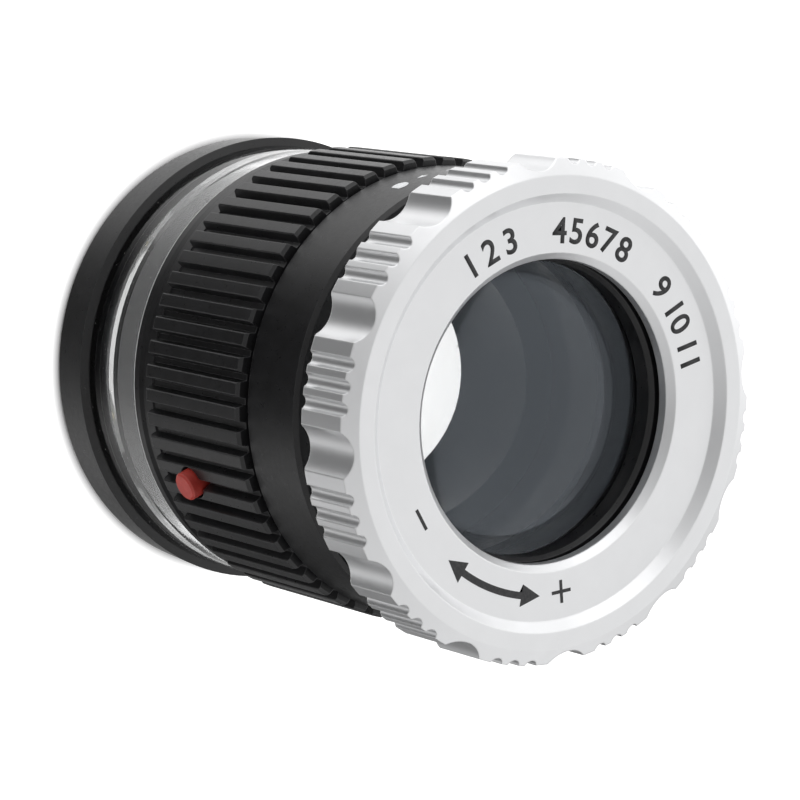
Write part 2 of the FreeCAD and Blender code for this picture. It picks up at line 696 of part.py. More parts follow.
def make_cell(index):
    """Button cell standing on edge, raised pole towards the axis."""
    name = f"button_cell_{index + 1}"
    body = new_body(name)
    turned(body, name + "_section", [
        ("", ""),
        ("cell_radius", ""),
        ("cell_radius", "cell_can"),
        ("cell_cap_radius", "cell_can"),
        ("cell_cap_radius", "cell_height"),
        ("", "cell_height"),
    ])
    angle = cell_angle(index)
    lie = FreeCAD.Rotation(Z_AXIS, angle).multiply(FreeCAD.Rotation(Y_AXIS, -QUARTER))
    body.Placement = FreeCAD.Placement(FreeCAD.Vector(), lie)
    out = f"({formula('cell_inner')} + {formula('cell_height')})"
    body.setExpression("Placement.Base.x", f"{out} * cos({angle} deg)")
    body.setExpression("Placement.Base.y", f"{out} * sin({angle} deg)")
    body.setExpression("Placement.Base.z", formula("cell_axis_height"))
    return body


def make_board():
    """Ring of board under the carrier, with the carrier's reliefs and the screw holes."""
    body = new_body("board_blank")
    sketch = new_sketch(body, "board_outline", "XY_Plane", lift="board_bottom")
    ring_of(sketch, "", "", "board_radius")
    ring_of(sketch, "", "", "board_bore")
    pad(body, "board_plate", sketch, "board_thick")
    cut_reliefs(body)
    holes = screw_tools("board_hole", "screw_hole", "board_thick", "board_bottom")
    board = minus("lamp_board_cut", body, joined("board_cuts", holes))
    board.Label = "lamp_board"
    return board


def make_lamp(index):
    """Surface lamp under the board, with a shallow phosphor well."""
    name = f"lamp_{index + 1}"
    body = new_body(name)
    sketch = new_sketch(body, name + "_outline", "XY_Plane")
    outline(sketch, [
        ("-lamp_wide_half", "-lamp_long_half"),
        ("lamp_wide_half", "-lamp_long_half"),
        ("lamp_wide_half", "lamp_long_half"),
        ("-lamp_wide_half", "lamp_long_half"),
    ])
    pad(body, name + "_case", sketch, "lamp_high")
    well = new_sketch(body, name + "_well_outline", "XY_Plane")
    ring_of(well, "", "", "lamp_well")
    pocket(body, name + "_well", well, "lamp_well_deep", flip=True)
    put_round(body, LAMP_START + index * TURN / size("lamp_count"), "lamp_radius", "lamp_base")
    return body


def make_screws():
    """The lamp board's three screws share one node."""
    screws = []
    for index, angle in enumerate(SCREW_ANGLES):
        head = primitive("Cylinder", f"screw_head_{index + 1}", {
            "Radius": "screw_head", "Height": "screw_head_high"})
        put_round(head, angle, "screw_circle", "screw_head_base")
        shank = primitive("Cylinder", f"screw_shank_{index + 1}", {
            "Radius": "screw_shank", "Height": "screw_length"})
        put_round(shank, angle, "screw_circle", "board_bottom")
        slot = primitive("Box", f"screw_slot_{index + 1}", {
            "Length": "screw_slot_long", "Width": "screw_slot", "Height": "screw_slot_deep"})
        put_round(slot, angle, "screw_slot_start", "screw_head_base", "screw_slot_half")
        whole = joined(f"screw_blank_{index + 1}", [head, shank])
        screws.append(minus(f"screw_{index + 1}", whole, slot))
    group = joined("board_screw_set", screws, "Part::Compound")
    group.Label = "board_screws"
    return group


def make_switch():
    case = primitive("Box", "switch_case", {
        "Length": "switch_width", "Width": "switch_depth", "Height": "switch_height"})
    case.setExpression("Placement.Base.x", f"-{formula('switch_width')} / 2")
    case.setExpression("Placement.Base.y", f"-{formula('switch_front')}")
    case.setExpression("Placement.Base.z", formula("board_top"))
    plunger = primitive("Cylinder", "switch_plunger_post", {"Radius": "switch_plunger"})
    plunger.setExpression("Height", f"{formula('switch_plunger_out')} + {formula('tail_slack')}")
    place(plunger, axis=X_AXIS, angle=QUARTER)
    plunger.setExpression("Placement.Base.y", f"-{formula('switch_front')} + {formula('tail_slack')}")
    plunger.setExpression("Placement.Base.z", formula("button_height"))
    switch = joined("switch_unit", [case, plunger])
    switch.Label = "switch"
    return switch


# ---------------------------------------------------------------- button

def make_button():
    """Button, flange and stem, turned and then laid on the front axis."""
    body = new_body("push_button")
    turned(body, "button_section", [
        ("", "button_stem_end"),
        ("button_stem", "button_stem_end"),
        ("button_stem", "button_flange_in"),
        ("button_flange", "button_flange_in"),
        ("button_flange", "button_flange_out"),
        ("button_radius", "button_flange_out"),
        ("button_radius", "button_crown"),
        ("button_side", "button_face"),
        ("", "button_face"),
    ])
    place(body, axis=X_AXIS, angle=QUARTER)
    body.setExpression("Placement.Base.z", formula("button_height"))
    return body


def make_spring():
    """Coil spring wound up Z and then laid on the front axis."""
    body = new_body("button_spring")
    sketch = new_sketch(body, "spring_wire_section", "XZ_Plane")
    ring_of(sketch, "spring_coil", "", "spring_wire")
    coil = body.newObject("PartDesign::AdditiveHelix", "spring_coils")
    coil.Profile = sketch
    coil.ReferenceAxis = (sketch, ["V_Axis"])
    coil.Mode = "pitch-height-angle"
    drive(coil, {"Pitch": "spring_pitch", "Height": "spring_length"})
    place(body, axis=X_AXIS, angle=QUARTER)
    body.setExpression("Placement.Base.y", f"-{formula('spring_base')}")
    body.setExpression("Placement.Base.z", formula("button_height"))
    return body


# ---------------------------------------------------------------- cover ring

def pin_tool(name, angle, length):
    tool = primitive("Cylinder", name, {"Radius": "pin_radius", "Height": length})
    lie = FreeCAD.Rotation(Z_AXIS, angle).multiply(FreeCAD.Rotation(Y_AXIS, QUARTER))
    tool.Placement = FreeCAD.Placement(FreeCAD.Vector(), lie)
    tool.setExpression("Placement.Base.x", f"{formula('pin_tip')} * cos({angle} deg)")
    tool.setExpression("Placement.Base.z", formula("pin_height"))
    return tool


def make_cover():
    body = new_body("cover_turning")
    turned(body, "cover_section", [
        ("guide_bore", "cover_spigot_low"),
        ("cover_spigot", "cover_spigot_low"),
        ("cover_spigot", "cover_foot"),
        ("cover_foot_radius", "cover_foot"),
        ("cover_foot_radius", "cover_bottom"),
        ("cover_rim", "cover_bottom"),
        ("cover_radius", "cover_low"),
        ("cover_radius", "cover_shoulder"),
        ("cover_top_radius", "cover_top"),
        ("cover_bore", "cover_top"),
        ("cover_bore", "guide_top"),
        ("guide_bore", "guide_top"),
    ])
    lug = turned(body, "cover_lug", [
        ("lug_root", "lug_low"),
        ("lug_radius", "lug_low"),
        ("lug_radius", "lug_high"),
        ("lug_root", "lug_high"),
    ], span="lug_span", turn="lug_turn")
    around(body, "cover_lugs", lug, "lock_count")
    holes = [pin_tool(f"pin_hole_{i + 1}", angle, "pin_hole_length") for i, angle in enumerate(PIN_ANGLES)]
    cover = minus("cover_ring_cut", body, joined("pin_holes", holes))
    cover.Label = "cover_ring"
    return cover


def make_pins():
    """The two guide pins share one node."""
    pins = [pin_tool(f"guide_pin_{i + 1}", angle, "pin_length") for i, angle in enumerate(PIN_ANGLES)]
    group = joined("guide_pin_set", pins, "Part::Compound")
    group.Label = "guide_pins"
    return group


# ---------------------------------------------------------------- lens group

def make_barrel():
    body = new_body("lens_barrel")
    turned(body, "barrel_section", [
        ("field_seat_bore", "barrel_bottom"),
        ("barrel_tail", "barrel_bottom"),
        ("barrel_tail", "barrel_guide_low"),
        ("barrel_guide", "barrel_guide_low"),
        ("barrel_guide", "barrel_guide_top"),
        ("barrel_radius", "barrel_guide_top"),
        ("barrel_radius", "barrel_top"),
        ("eye_seat_bore", "barrel_top"),
        ("eye_seat_bore", "eye_seat"),
        ("stop_one", "eye_seat"),
        ("stop_one", "stop_one_low"),
        ("stop_two", "stop_one_low"),
        ("stop_two", "stop_two_low"),
        ("stop_three", "stop_two_low"),
        ("stop_three", "field_seat"),
        ("field_seat_bore", "field_seat"),
    ])
    sketch = new_sketch(body, "guide_slot_outline", "XY_Plane", lift="slot_high")
    outline(sketch, [
        ("slot_floor", "-slot_half"),
        ("slot_over", "-slot_half"),
        ("slot_over", "slot_half"),
        ("slot_floor", "slot_half"),
    ])
    slot = pocket(body, "guide_slot", sketch, "slot_length")
    around(body, "guide_slots", slot, "pin_count")
    return body


def make_lens(name, radius, upper_curve, upper_apex, lower_curve, lower_apex):
    """Lens ground from a blank by two spheres."""
    blank = primitive("Cylinder", name + "_blank", {"Radius": radius, "Height": "lens_room"})
    upper = primitive("Sphere", name + "_upper", {"Radius": upper_curve})
    upper.setExpression("Placement.Base.z", f"{formula(upper_apex)} - {formula(upper_curve)}")
    lower = primitive("Sphere", name + "_lower", {"Radius": lower_curve})
    lower.setExpression("Placement.Base.z", f"{formula(lower_apex)} + {formula(lower_curve)}")
    lens = joined(name + "_ground", [blank, upper, lower], "Part::MultiCommon")
    lens.Label = name
    return lens


def make_eye_ring():
    body = new_body("eye_ring")
    turned(body, "eye_ring_section", [
        ("eye_ring_bore", "eye_ring_low"),
        ("eye_ring_radius", "eye_ring_low"),
        ("eye_ring_radius", "eye_ring_top"),
        ("eye_ring_mouth", "eye_ring_top"),
        ("eye_ring_bore", "eye_ring_bevel"),
    ])
    return body


def make_field_ring():
    body = ring("field_ring", "field_ring_bore", "field_ring_radius", "field_ring_low", "field_ring_top")
    sketch = notches(body, "field_notch_end", "field_ring_low")
    pocket(body, "field_ring_notches", sketch, "notch_deep", flip=True)
    return body


# ---------------------------------------------------------------- focus ring

def make_focus_ring():
    body = new_body("focus_ring")
    turned(body, "focus_section", [
        ("cap_lip_radius", "cap_lip_low"),
        ("cap_lip_radius", "cap_lip_high"),
        ("cap_bevel_radius", "cap_face"),
        ("cap_face_radius", "cap_face"),
        ("cap_step_radius", "cap_top"),
        ("cap_rim_radius", "cap_top"),
        ("cap_radius", "cap_shoulder"),
        ("cap_radius", "cap_low_bevel"),
        ("cap_low_rim", "cap_bottom"),
        ("cap_thread", "cap_bottom"),
        ("cap_thread", "damper_groove_high"),
        ("damper_groove_floor", "damper_groove_high"),
        ("damper_groove_floor", "damper_groove_low"),
        ("cap_thread", "damper_groove_low"),
        ("cap_thread", "cap_neck_low"),
        ("cap_bore", "cap_neck_low"),
        ("cap_bore", "cap_lip_low"),
    ])
    sketch = new_sketch(body, "flute_circles", "XY_Plane", lift="cap_cut_top")
    ring_of(sketch, "scallop_x", "scallop_y", "scallop_radius")
    ring_of(sketch, "flute_centre", "", "flute_radius")
    ring_of(sketch, "flute_x", "flute_y", "flute_radius")
    ring_of(sketch, "flute_x", "-flute_y", "flute_radius")
    group = pocket(body, "flute_group", sketch, "cap_cut_depth")
    around(body, "flute_groups", group, "cap_groups")
    place(body, angle=size("cap_turn"))
    body.setExpression("Placement.Rotation.Angle", formula("cap_turn"))
    return body


# ---------------------------------------------------------------- assembly

def make_all():
    nodes = [make_base_ring(), make_scale_glass(), make_scale_ring(), make_window(), make_grip()]
    nodes += [make_carrier(), make_board(), make_screws(), make_switch()]
    for index in range(int(size("cell_count"))):
        nodes.append(make_cell(index))
        nodes.append(make_contact(index, "inner", f"minus_contact_{index + 1}"))
        nodes.append(make_contact(index, "outer", f"plus_contact_{index + 1}"))
    nodes += [make_lamp(index) for index in range(int(size("lamp_count")))]
    nodes += [make_button(), make_spring(), make_cover(), make_pins(), make_barrel()]
    nodes.append(make_lens("eye_lens", "eye_radius", "eye_upper_curve", "eye_upper_apex",
                           "eye_lower_curve", "eye_lower_apex"))
    nodes.append(make_lens("field_lens", "field_radius", "field_upper_curve", "field_upper_apex",
                           "field_lower_curve", "field_lower_apex"))
    nodes.append(ring("barrel_collar", "collar_ring_bore", "collar_ring_radius",
                      "collar_ring_low", "collar_ring_top"))
    nodes += [make_eye_ring(), make_field_ring(), make_focus_ring()]
    nodes.append(ring("damper_ring", "damper_bore", "damper_radius", "damper_low", "damper_high"))
    return nodes


def check_and_save(nodes):
    doc.recompute()
    for item in doc.Objects:
        if "Invalid" in item.State or "Error" in item.State:
            raise RuntimeError(f"{item.Name} did not compute: {item.State}")
    os.makedirs("parts", exist_ok=True)
    for node in nodes:
        if node.Shape.isNull() or not node.Shape.isValid():
            raise RuntimeError(f"{node.Label} has no valid shape")
        node.Shape.exportStep(f"parts/{node.Label}.step")


check_and_save(make_all())
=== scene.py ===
import json
import math

import bmesh
import bpy
from mathutils import Matrix, Vector


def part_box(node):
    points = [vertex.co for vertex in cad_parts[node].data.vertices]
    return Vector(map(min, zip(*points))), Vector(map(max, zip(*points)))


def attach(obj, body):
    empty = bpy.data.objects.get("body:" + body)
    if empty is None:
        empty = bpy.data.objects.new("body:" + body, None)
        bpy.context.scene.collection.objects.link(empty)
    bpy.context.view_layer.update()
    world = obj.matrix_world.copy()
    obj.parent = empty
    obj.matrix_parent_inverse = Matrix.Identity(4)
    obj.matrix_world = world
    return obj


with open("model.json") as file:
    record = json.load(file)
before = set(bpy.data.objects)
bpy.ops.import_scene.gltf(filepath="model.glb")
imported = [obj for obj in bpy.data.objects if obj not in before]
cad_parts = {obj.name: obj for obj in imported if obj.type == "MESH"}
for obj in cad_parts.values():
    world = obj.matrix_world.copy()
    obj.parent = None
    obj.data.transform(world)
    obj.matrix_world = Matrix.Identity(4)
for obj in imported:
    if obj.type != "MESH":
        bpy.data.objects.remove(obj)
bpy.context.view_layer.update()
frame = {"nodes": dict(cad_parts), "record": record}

MM = 0.001
scene = bpy.context.scene


# ---------------------------------------------------------------- sizes taken from the frame

def top_of(node):
    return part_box(node)[1].z


def radius_of(node):
    low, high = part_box(node)
    return (high.x - low.x) / 2


FACE_TOP = top_of("focus_ring")
FACE_SINK = 0.95 * MM
SUNK_FACE = FACE_TOP - FACE_SINK
COVER_RADIUS = radius_of("cover_ring")
GLASS_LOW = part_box("scale_glass")[0].z


# ---------------------------------------------------------------- node helpers

def add(tree, kind, inputs=None, **settings):
    """New shader node; an input is set to a value or joined to another node's output."""
    item = tree.nodes.new(kind)
    for name, value in settings.items():
        setattr(item, name, value)
    for key, value in (inputs or {}).items():
        if isinstance(value, bpy.types.NodeSocket):
            tree.links.new(value, item.inputs[key])
        else:
            item.inputs[key].default_value = value
    return item


def math_node(tree, operation, a, b=0.0, clamp=False):
    return add(tree, "ShaderNodeMath", {0: a, 1: b}, operation=operation, use_clamp=clamp).outputs[0]


def spread(tree, value, low, high, start=0.0, end=1.0):
    """Map start..end of a pattern onto low..high, held at both ends."""
    return add(tree, "ShaderNodeMapRange", {
        "Value": value, "From Min": start, "From Max": end, "To Min": low, "To Max": high}).outputs["Result"]


def blend_colour(tree, share, first, second):
    item = add(tree, "ShaderNodeMix", {0: share, 6: first, 7: second}, data_type="RGBA")
    return item.outputs[2]


def rgb(red, green, blue):
    return (red, green, blue, 1.0)


def in_mm(tree):
    """The piece's own coordinates in millimetres."""
    coords = add(tree, "ShaderNodeTexCoord").outputs["Object"]
    scaled = add(tree, "ShaderNodeVectorMath", {0: coords}, operation="SCALE")
    scaled.inputs["Scale"].default_value = 1 / MM
    return scaled.outputs[0]


def noise(tree, vector, scale, detail=3.0, roughness=0.55):
    return add(tree, "ShaderNodeTexNoise", {
        "Vector": vector, "Scale": scale, "Detail": detail, "Roughness": roughness}).outputs["Fac"]


def turning(tree, vector, scale, detail=4.0):
    """Fine lathe lines: a pattern that only changes with radius and height."""
    parts = add(tree, "ShaderNodeSeparateXYZ", {0: vector})
    flat = add(tree, "ShaderNodeCombineXYZ", {0: parts.outputs[0], 1: parts.outputs[1]}).outputs[0]
    radius = add(tree, "ShaderNodeVectorMath", {0: flat}, operation="LENGTH").outputs["Value"]
    along = math_node(tree, "ADD", radius, parts.outputs[2])
    lines = add(tree, "ShaderNodeTexNoise", {
        "W": along, "Scale": scale, "Detail": detail, "Roughness": 0.6}, noise_dimensions="1D")
    return lines.outputs["Fac"]


def edge_mask(tree, radius, low=0.012, high=0.09):
    """1 along sharp edges and 0 on flat ground, from the rounded normal."""
    rounded = add(tree, "ShaderNodeBevel", {"Radius": radius}, samples=6).outputs[0]
    plain = add(tree, "ShaderNodeNewGeometry").outputs["Normal"]
    same = add(tree, "ShaderNodeVectorMath", {0: rounded, 1: plain}, operation="DOT_PRODUCT")
    off = math_node(tree, "SUBTRACT", 1.0, same.outputs["Value"], clamp=True)
    return spread(tree, off, 0.0, 1.0, low, high), rounded


def bumped(tree, layers, base=None):
    """Stack of bump layers: (height pattern, distance in metres)."""
    normal = base
    for height, distance in layers:
        inputs = {"Height": height, "Distance": distance, "Strength": 1.0}
        if normal is not None:
            inputs["Normal"] = normal
        normal = add(tree, "ShaderNodeBump", inputs).outputs[0]
    return normal


def new_material(name):
    material = bpy.data.materials.new(name)
    material.use_nodes = True
    tree = material.node_tree
    tree.nodes.clear()
    shader = add(tree, "ShaderNodeBsdfPrincipled")
    add(tree, "ShaderNodeOutputMaterial", {"Surface": shader.outputs[0]})
    return material, tree, shader


def fill(tree, shader, sockets):
    for name, value in sockets.items():
        if isinstance(value, bpy.types.NodeSocket):
            tree.links.new(value, shader.inputs[name])
        else:
            shader.inputs[name].default_value = value


# ---------------------------------------------------------------- materials

def anodised_black(name, first, second, edge_colour):
    """Satin black anodising: fine grain, faint lathe lines, paler edges that are partly wear and partly
    painted highlight.
    """
    material, tree, shader = new_material(name)
    place = in_mm(tree)
    edge, rounded = edge_mask(tree, 0.12 * MM)
    cloud = spread(tree, noise(tree, place, 0.5, 4.0), 0.0, 1.0, 0.3, 0.7)
    ground = blend_colour(tree, cloud, first, second)
    # paler edge colour broken up by noise: partly wear, partly painted highlight along the edges
    wear_and_highlight = spread(tree, noise(tree, place, 1.4), 0.15, 0.75, 0.35, 0.65)
    colour = blend_colour(tree, math_node(tree, "MULTIPLY", edge, wear_and_highlight), ground, edge_colour)
    rough = spread(tree, noise(tree, place, 2.2), 0.27, 0.37, 0.3, 0.7)
    normal = bumped(tree, [
        (turning(tree, place, 7.0), 1.6e-6),
        (noise(tree, place, 7.5, 2.0), 3.2e-6),
    ], rounded)
    fill(tree, shader, {"Base Color": colour, "Roughness": rough, "Normal": normal,
                        "IOR": 1.5, "Metallic": 0.0})
    return material


def silver_satin():
    """Satin silver anodising on turned aluminium."""
    material, tree, shader = new_material("silver_satin")
    place = in_mm(tree)
    edge, rounded = edge_mask(tree, 0.22 * MM)
    cloud = spread(tree, noise(tree, place, 0.35, 4.0), 0.0, 1.0, 0.3, 0.7)
    ground = blend_colour(tree, cloud, rgb(0.79, 0.795, 0.805), rgb(0.81, 0.815, 0.825))
    # edges mixed toward a paler silver: painted edge highlight
    colour = blend_colour(tree, math_node(tree, "MULTIPLY", edge, 0.6), ground, rgb(0.94, 0.94, 0.945))
    rough = spread(tree, noise(tree, place, 1.8), 0.29, 0.34, 0.3, 0.7)
    normal = bumped(tree, [
        (turning(tree, place, 5.0), 0.7e-6),
        (noise(tree, place, 7.0, 2.0), 1.7e-6),
    ], rounded)
    fill(tree, shader, {"Base Color": colour, "Roughness": rough, "Normal": normal,
                        "Metallic": 0.8, "IOR": 1.5})
    return material


def clear_acrylic():
    """Moulded clear acrylic with faint flow marks, matt sawn bevels and a few dust specks."""
    material, tree, shader = new_material("clear_acrylic")
    place = in_mm(tree)
    cells = add(tree, "ShaderNodeTexVoronoi", {"Vector": place, "Scale": 2.4})
    near = spread(tree, cells.outputs["Distance"], 1.0, 0.0, 0.05, 0.13)
    pick = add(tree, "ShaderNodeSeparateColor", {0: cells.outputs["Color"]}).outputs[0]
    chosen = math_node(tree, "GREATER_THAN", pick, 0.86)
    dust = math_node(tree, "MULTIPLY", near, chosen, clamp=True)
    colour = blend_colour(tree, noise(tree, place, 0.2), rgb(0.95, 0.96, 0.965), rgb(0.985, 0.99, 0.99))
    slope = math_node(tree, "ABSOLUTE", add(tree, "ShaderNodeSeparateXYZ", {
        0: add(tree, "ShaderNodeNewGeometry").outputs["Normal"]}).outputs[2])
    sawn = math_node(tree, "MULTIPLY", spread(tree, slope, 0.0, 1.0, 0.4, 0.6),
                     spread(tree, slope, 1.0, 0.0, 0.8, 0.95))
    matt = math_node(tree, "MAXIMUM", math_node(tree, "MULTIPLY", dust, 0.7),
                     math_node(tree, "MULTIPLY", sawn, 0.75))
    clear = math_node(tree, "SUBTRACT", 1.0, matt)
    rough = math_node(tree, "ADD", spread(tree, noise(tree, place, 1.2), 0.015, 0.06, 0.35, 0.7),
                      math_node(tree, "MULTIPLY", matt, 0.5))
    normal = bumped(tree, [(noise(tree, place, 0.35, 1.0), 1.2e-5), (turning(tree, place, 3.0), 6.0e-7)])
    fill(tree, shader, {"Base Color": colour, "Roughness": rough, "Normal": normal,
                        "Transmission Weight": clear, "IOR": 1.49})
    return material


def lens_glass():
    """Polished glass with a cool coating and the faintest wipe marks."""
    material, tree, shader = new_material("lens_glass")
    place = in_mm(tree)
    colour = blend_colour(tree, noise(tree, place, 0.12), rgb(0.965, 0.975, 0.985), rgb(0.985, 0.99, 0.995))
    rough = spread(tree, noise(tree, place, 0.9, 5.0), 0.0, 0.03, 0.45, 0.75)
    fill(tree, shader, {"Base Color": colour, "Roughness": rough, "Transmission Weight": 1.0, "IOR": 1.52,
                        "Specular Tint": rgb(0.78, 0.88, 1.0)})
    return material


def moulded(name, first, second, rough, grain=2.5e-6, scatter=0.0, edge_colour=None):
    """Moulded plastic or paint: two close tones, fine grain, rounded edges."""
    material, tree, shader = new_material(name)
    place = in_mm(tree)
    edge, rounded = edge_mask(tree, 0.1 * MM)
    colour = blend_colour(tree, spread(tree, noise(tree, place, 1.1, 4.0), 0.0, 1.0, 0.3, 0.7), first, second)
    # paler edge colour, where given: painted edge highlight
    if edge_colour:
        colour = blend_colour(tree, math_node(tree, "MULTIPLY", edge, 0.6), colour, edge_colour)
    roughness = spread(tree, noise(tree, place, 2.6), rough - 0.06, rough + 0.06, 0.3, 0.7)
    normal = bumped(tree, [(noise(tree, place, 8.0, 2.0), grain)], rounded)
    fill(tree, shader, {"Base Color": colour, "Roughness": roughness, "Normal": normal, "IOR": 1.5})
    if scatter:
        fill(tree, shader, {"Subsurface Weight": scatter, "Subsurface Scale": 0.6 * MM,
                            "Subsurface Radius": (1.0, 0.25, 0.15)})
    return material


def plated(name, first, second, rough):
    """Plated or rolled sheet metal with lathe or roll lines."""
    material, tree, shader = new_material(name)
    place = in_mm(tree)
    colour = blend_colour(tree, noise(tree, place, 0.9, 4.0), first, second)
    roughness = spread(tree, noise(tree, place, 3.0), rough - 0.07, rough + 0.07, 0.3, 0.7)
    normal = bumped(tree, [(turning(tree, place, 6.0), 1.2e-6), (noise(tree, place, 5.0), 1.0e-6)])
    fill(tree, shader, {"Base Color": colour, "Roughness": roughness, "Normal": normal, "Metallic": 1.0})
    return material


HALF_WELL = 0.15 * MM            # half the depth of the well in a lamp's low face


def lamp_case():
    """White lamp case with a yellow phosphor well in the middle."""
    material, tree, shader = new_material("lamp_white")
    place = in_mm(tree)
    facing = add(tree, "ShaderNodeSeparateXYZ", {
        0: add(tree, "ShaderNodeNewGeometry").outputs["Normal"]}).outputs[2]
    height = add(tree, "ShaderNodeSeparateXYZ", {0: place}).outputs[2]
    well_middle = (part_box("lamp_1")[0].z + HALF_WELL) / MM
    deep = math_node(tree, "GREATER_THAN", height, well_middle)
    down = math_node(tree, "LESS_THAN", facing, -0.5)
    share = math_node(tree, "MULTIPLY", deep, down)
    colour = blend_colour(tree, share, rgb(0.82, 0.82, 0.80), rgb(0.78, 0.62, 0.10))
    rough = spread(tree, noise(tree, place, 4.0), 0.35, 0.5, 0.3, 0.7)
    normal = bumped(tree, [(noise(tree, place, 9.0), 1.5e-6)])
    fill(tree, shader, {"Base Color": colour, "Roughness": rough, "Normal": normal, "IOR": 1.5})
    return material


def ink(name, first, second):
    """Screen-printed ink: slightly uneven cover and gloss."""
    material, tree, shader = new_material(name)
    place = in_mm(tree)
    cloud = spread(tree, noise(tree, place, 3.5, 5.0), 0.0, 1.0, 0.35, 0.65)
    colour = blend_colour(tree, cloud, first, second)
    rough = spread(tree, noise(tree, place, 6.0), 0.38, 0.55, 0.3, 0.7)
    normal = bumped(tree, [(noise(tree, place, 9.0), 1.5e-6)])
    fill(tree, shader, {"Base Color": colour, "Roughness": rough, "Normal": normal, "IOR": 1.5})
    return material


FINISHES = {
    "anodised_black": anodised_black(
        "anodised_black", rgb(0.0055, 0.0055, 0.006), rgb(0.0095, 0.0095, 0.0105), rgb(0.05, 0.05, 0.053)),
    "silver_satin": silver_satin(),
    "clear_acrylic": clear_acrylic(),
    "lens_glass": lens_glass(),
    "red_plastic": moulded(
        "red_plastic", rgb(0.31, 0.024, 0.017), rgb(0.37, 0.034, 0.023), 0.42, 3.0e-6, 0.15,
        rgb(0.46, 0.09, 0.06)),
    "black_plastic": moulded("black_plastic", rgb(0.010, 0.010, 0.011), rgb(0.018, 0.018, 0.019), 0.45),
    "board_white": moulded("board_white", rgb(0.70, 0.71, 0.69), rgb(0.78, 0.78, 0.76), 0.38),
    "lamp_white": lamp_case(),
    "cell_steel": plated("cell_steel", rgb(0.58, 0.57, 0.55), rgb(0.66, 0.65, 0.63), 0.28),
    "contact_metal": plated("contact_metal", rgb(0.60, 0.52, 0.36), rgb(0.70, 0.62, 0.44), 0.30),
    "fastener_steel": plated("fastener_steel", rgb(0.50, 0.50, 0.51), rgb(0.60, 0.60, 0.61), 0.33),
    "nylon": moulded("nylon", rgb(0.62, 0.60, 0.54), rgb(0.70, 0.68, 0.62), 0.5, 2.5e-6, 0.2),
}
BARREL_BLACK = moulded("barrel_black", rgb(0.013, 0.0145, 0.0165), rgb(0.019, 0.0205, 0.023), 0.36, 2.0e-7)
# the grip's paler edge colour is partly painted highlight on the rib edges
GRIP_BLACK = anodised_black("grip_black", rgb(0.0080, 0.0080, 0.0085), rgb(0.0125, 0.0125, 0.0135),
                            rgb(0.10, 0.10, 0.105))
MATT_BLACK = moulded("matt_black", rgb(0.006, 0.006, 0.0065), rgb(0.010, 0.010, 0.0105), 0.74, 4.0e-7)
OWN_FINISHES = {"lens_barrel": BARREL_BLACK, "grip": GRIP_BLACK, "scale_ring": MATT_BLACK}
INK_DARK = ink("ink_dark", rgb(0.012, 0.012, 0.013), rgb(0.03, 0.03, 0.032))
INK_PALE = ink("ink_pale", rgb(0.55, 0.56, 0.57), rgb(0.72, 0.73, 0.74))


def dress_nodes():
    """Give every CAD node its own finish, or else the finish of its slot."""
    for part in frame["record"]["subparts"]:
        materials = frame["nodes"][part["node"]].data.materials
        materials.clear()
        materials.append(OWN_FINISHES.get(part["node"], FINISHES[part["material_slot"]]))


dress_nodes()


# ---------------------------------------------------------------- printed marks

INK_THICK = 0.02 * MM
FIGURE_SHARE = 0.72              # height of a figure as a share of the font size


def arc_band(start, end, inner, outer, steps=28):
    """Outline of a band between two radii, angles in degrees."""
    angles = [math.radians(start + (end - start) * i / steps) for i in range(steps + 1)]
    far = [(outer * math.cos(a), outer * math.sin(a)) for a in angles]
    near = [(inner * math.cos(a), inner * math.sin(a)) for a in reversed(angles)]
    return far + near


def bar(centre, long, wide, angle):
    """Rectangle of the given length and width, turned about its centre."""
    turn = math.radians(angle)
    along = Vector((math.cos(turn), math.sin(turn))) * long / 2
    across = Vector((-math.sin(turn), math.cos(turn))) * wide / 2
    middle = Vector(centre)
    near, far = middle - along, middle + along
    return [near - across, far - across, far + across, near + across]


def at(radius, angle):
    """Point at a radius and an angle in degrees."""
    turn = math.radians(angle)
    return Vector((radius * math.cos(turn), radius * math.sin(turn)))


def glyph(text, height, middle, angle, weight=0.0):
    """Flat faces of a figure centred on a point, its top turned to angle."""
    curve = bpy.data.curves.new("figure", "FONT")
    curve.body = text
    curve.size = height / FIGURE_SHARE
    curve.align_x, curve.align_y = "CENTER", "CENTER"
    curve.offset = weight
    curve.resolution_u = 6
    holder = bpy.data.objects.new("figure", curve)
    mesh = bpy.data.meshes.new_from_object(holder)
    turn = Matrix.Rotation(math.radians(angle - 90), 4, "Z")
    spots = [v.co for v in mesh.vertices]
    centre = Vector(((min(p.x for p in spots) + max(p.x for p in spots)) / 2,
                     (min(p.y for p in spots) + max(p.y for p in spots)) / 2, 0))
    place = Matrix.Translation(Vector((middle[0], middle[1], 0))) @ turn @ Matrix.Translation(-centre)
    mesh.transform(place)
    bpy.data.objects.remove(holder)
    return mesh


def printed(name, body, material, wrap, outlines=(), glyphs=()):
    """A thin ink piece from flat outlines and figures, carried onto its surface by wrap."""
    work = bmesh.new()
    for points in outlines:
        work.faces.new([work.verts.new((p[0], p[1], 0)) for p in points])
    for figure in glyphs:
        work.from_mesh(figure)
    bmesh.ops.triangulate(work, faces=[f for f in work.faces if len(f.verts) > 4])
    raised = bmesh.ops.extrude_face_region(work, geom=work.faces[:])
    for item in raised["geom"]:
        if isinstance(item, bmesh.types.BMVert):
            item.co.z += INK_THICK
    bmesh.ops.recalc_face_normals(work, faces=work.faces[:])
    for vert in work.verts:
        vert.co = wrap(vert.co)
    mesh = bpy.data.meshes.new(name)
    work.to_mesh(mesh)
    work.free()
    mesh.materials.append(material)
    piece = bpy.data.objects.new(name, mesh)
    scene.collection.objects.link(piece)
    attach(piece, body)


def on_face(point):
    return Vector((point.x, point.y, SUNK_FACE + point.z))


